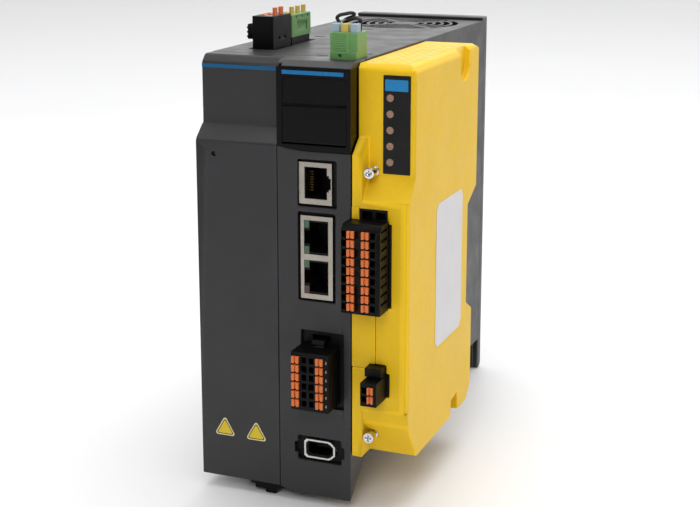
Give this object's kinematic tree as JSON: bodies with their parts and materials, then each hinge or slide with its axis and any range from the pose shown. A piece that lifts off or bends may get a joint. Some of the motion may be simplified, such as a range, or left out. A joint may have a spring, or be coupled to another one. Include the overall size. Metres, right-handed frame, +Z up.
{
  "type": "servo drive",
  "caption": "Slim upright motor controller with a side-mounted yellow safety module, pull-out spring terminal plugs, network sockets, a hinged key cover and a cooling fan.",
  "frame": {"origin": "centre of the bounding box's underside, at the height of the surface the drive stands on", "axes": "+X to the viewer's right when facing the front (towards the yellow module), +Y from the front to the rear mounting face, +Z up"},
  "size_m": [0.0882, 0.1928, 0.1943],
  "materials": {
    "charcoal_plastic": "fine-grained charcoal moulding",
    "back_metal": "charcoal powder coat on the metal back plate",
    "gloss_black": "polished black moulding",
    "smoked_window": "smoked clear window",
    "display_parts": "dark display block with pale unlit segments",
    "key_grey": "grey key caps",
    "blue_trim": "blue film stripe",
    "sign_yellow": "yellow blank triangular stickers",
    "black_plastic": "glass-filled black connector plastic",
    "steel_shell": "tinned steel shield",
    "gold_contacts": "gold-plated spring contacts",
    "led_green": "unlit green light guides",
    "orange_plastic": "orange release buttons and levers",
    "terminal_green": "green terminal plug plastic",
    "lever_yellow": "yellow levers and centre key",
    "blue_grey": "blue-grey release keys",
    "wire_black": "black wire insulation",
    "aluminium": "extruded aluminium",
    "board_green": "solder-masked circuit board",
    "capacitor_sleeve": "blue shrink sleeve",
    "safety_yellow": "warm yellow moulding",
    "label_black": "black film behind the status lights",
    "led_amber": "unlit amber light guides",
    "label_white": "blank pale sticker",
    "chrome_screw": "bright plated screw heads"
  },
  "bodies": {
    "drive": {"main_housing": "charcoal_plastic", "left_cover": "charcoal_plastic", "right_panel": "charcoal_plastic", "back_plate": "back_metal", "display_bezel": "gloss_black", "display_window": "smoked_window", "display_module": "display_parts", "blue_stripes": "blue_trim", "front_labels": "sign_yellow", "connector_frame": "black_plastic", "rj45_inserts": "black_plastic", "encoder_insert": "black_plastic", "signal_header": "black_plastic", "top_headers": "black_plastic", "motor_header": "black_plastic", "safety_headers": "black_plastic", "fan_frame": "black_plastic", "power_module": "black_plastic", "rj45_shells": "steel_shell", "encoder_shell": "steel_shell", "socket_contacts": "gold_contacts", "drive_leds": "led_green", "heat_sink": "aluminium", "control_board": "board_green", "power_board": "board_green", "safety_board": "board_green", "dc_capacitors": "capacitor_sleeve", "safety_cover": "safety_yellow", "safety_base": "safety_yellow", "led_label": "label_black", "status_leds": "led_amber", "rating_label": "label_white", "safety_screws": "chrome_screw"},
    "key_flap": {"key_flap": "gloss_black"},
    "mode_key": {"mode_key": "key_grey"},
    "shift_key": {"shift_key": "key_grey"},
    "up_key": {"up_key": "key_grey"},
    "down_key": {"down_key": "key_grey"},
    "set_key": {"set_key": "key_grey"},
    "signal_plug": {"signal_plug": "black_plastic"},
    "signal_buttons_left": {"signal_buttons_left": "orange_plastic"},
    "signal_buttons_right": {"signal_buttons_right": "orange_plastic"},
    "control_plug": {"control_plug": "black_plastic"},
    "control_lever_1": {"control_lever_1": "orange_plastic"},
    "control_lever_2": {"control_lever_2": "orange_plastic"},
    "mains_plug": {"mains_plug": "terminal_green"},
    "mains_lever_1": {"mains_lever_1": "lever_yellow"},
    "mains_lever_2": {"mains_lever_2": "lever_yellow"},
    "mains_lever_3": {"mains_lever_3": "lever_yellow"},
    "brake_plug": {"brake_plug": "terminal_green", "brake_jumpers": "wire_black"},
    "brake_button_1": {"brake_button_1": "blue_grey"},
    "brake_button_2": {"brake_button_2": "lever_yellow"},
    "brake_button_3": {"brake_button_3": "blue_grey"},
    "fan_rotor": {"fan_rotor": "black_plastic"},
    "safety_plug": {"safety_plug": "black_plastic"},
    "safety_buttons_left": {"safety_buttons_left": "orange_plastic"},
    "safety_buttons_right": {"safety_buttons_right": "orange_plastic"},
    "sto_plug": {"sto_plug": "black_plastic"},
    "sto_buttons": {"sto_buttons": "orange_plastic"}
  },
  "joints": [
    {"name": "key_flap_hinge", "type": "hinge", "parent": "drive", "child": "key_flap", "pos_m": [0.0061, -0.0837, 0.1465], "axis": [1, 0, 0], "range_deg": [0, 85]},
    {"name": "mode_key_press", "type": "slide", "parent": "drive", "child": "mode_key", "axis": [0, 1, 0], "range_m": [0, 0.0008], "stiffness_N_per_m": 150, "springref_m": -0.001},
    {"name": "shift_key_press", "type": "slide", "parent": "drive", "child": "shift_key", "axis": [0, 1, 0], "range_m": [0, 0.0008], "stiffness_N_per_m": 150, "springref_m": -0.001},
    {"name": "up_key_press", "type": "slide", "parent": "drive", "child": "up_key", "axis": [0, 1, 0], "range_m": [0, 0.0008], "stiffness_N_per_m": 150, "springref_m": -0.001},
    {"name": "down_key_press", "type": "slide", "parent": "drive", "child": "down_key", "axis": [0, 1, 0], "range_m": [0, 0.0008], "stiffness_N_per_m": 150, "springref_m": -0.001},
    {"name": "set_key_press", "type": "slide", "parent": "drive", "child": "set_key", "axis": [0, 1, 0], "range_m": [0, 0.0008], "stiffness_N_per_m": 150, "springref_m": -0.001},
    {"name": "signal_plug_pull", "type": "slide", "parent": "drive", "child": "signal_plug", "axis": [0, -1, 0], "range_m": [0, 0.012]},
    {"name": "signal_buttons_left_press", "type": "slide", "parent": "signal_plug", "child": "signal_buttons_left", "axis": [0, 1, 0], "range_m": [0, 0.0012], "stiffness_N_per_m": 150, "springref_m": -0.001},
    {"name": "signal_buttons_right_press", "type": "slide", "parent": "signal_plug", "child": "signal_buttons_right", "axis": [0, 1, 0], "range_m": [0, 0.0012], "stiffness_N_per_m": 150, "springref_m": -0.001},
    {"name": "safety_plug_pull", "type": "slide", "parent": "drive", "child": "safety_plug", "axis": [0, -1, 0], "range_m": [0, 0.012]},
    {"name": "safety_buttons_left_press", "type": "slide", "parent": "safety_plug", "child": "safety_buttons_left", "axis": [0, 1, 0], "range_m": [0, 0.0012], "stiffness_N_per_m": 150, "springref_m": -0.001},
    {"name": "safety_buttons_right_press", "type": "slide", "parent": "safety_plug", "child": "safety_buttons_right", "axis": [0, 1, 0], "range_m": [0, 0.0012], "stiffness_N_per_m": 150, "springref_m": -0.001},
    {"name": "sto_plug_pull", "type": "slide", "parent": "drive", "child": "sto_plug", "axis": [0, -1, 0], "range_m": [0, 0.01]},
    {"name": "sto_buttons_press", "type": "slide", "parent": "sto_plug", "child": "sto_buttons", "axis": [0, 1, 0], "range_m": [0, 0.0012], "stiffness_N_per_m": 150, "springref_m": -0.001},
    {"name": "control_plug_pull", "type": "slide", "parent": "drive", "child": "control_plug", "axis": [0, 0, 1], "range_m": [0, 0.012]},
    {"name": "control_lever_1_hinge", "type": "hinge", "parent": "control_plug", "child": "control_lever_1", "pos_m": [-0.0303, -0.0492, 0.1894], "axis": [0, -1, 0], "range_deg": [0, 80]},
    {"name": "control_lever_2_hinge", "type": "hinge", "parent": "control_plug", "child": "control_lever_2", "pos_m": [-0.0303, -0.0436, 0.1894], "axis": [0, -1, 0], "range_deg": [0, 80]},
    {"name": "mains_plug_pull", "type": "slide", "parent": "drive", "child": "mains_plug", "axis": [0, 0, 1], "range_m": [0, 0.012]},
    {"name": "mains_lever_1_hinge", "type": "hinge", "parent": "mains_plug", "child": "mains_lever_1", "pos_m": [-0.0303, -0.0328, 0.1884], "axis": [0, -1, 0], "range_deg": [0, 80]},
    {"name": "mains_lever_2_hinge", "type": "hinge", "parent": "mains_plug", "child": "mains_lever_2", "pos_m": [-0.0303, -0.0268, 0.1884], "axis": [0, -1, 0], "range_deg": [0, 80]},
    {"name": "mains_lever_3_hinge", "type": "hinge", "parent": "mains_plug", "child": "mains_lever_3", "pos_m": [-0.0303, -0.0208, 0.1884], "axis": [0, -1, 0], "range_deg": [0, 80]},
    {"name": "brake_plug_pull", "type": "slide", "parent": "drive", "child": "brake_plug", "axis": [0, 0, 1], "range_m": [0, 0.012]},
    {"name": "brake_button_1_press", "type": "slide", "parent": "brake_plug", "child": "brake_button_1", "axis": [0, 0, -1], "range_m": [0, 0.0015], "stiffness_N_per_m": 150, "springref_m": -0.001},
    {"name": "brake_button_2_press", "type": "slide", "parent": "brake_plug", "child": "brake_button_2", "axis": [0, 0, -1], "range_m": [0, 0.0015], "stiffness_N_per_m": 150, "springref_m": -0.001},
    {"name": "brake_button_3_press", "type": "slide", "parent": "brake_plug", "child": "brake_button_3", "axis": [0, 0, -1], "range_m": [0, 0.0015], "stiffness_N_per_m": 150, "springref_m": -0.001},
    {"name": "fan_spin", "type": "hinge", "parent": "drive", "child": "fan_rotor", "pos_m": [-0.0101, 0.0644, 0.165], "axis": [0, 0, 1], "continuous": true}
  ]
}
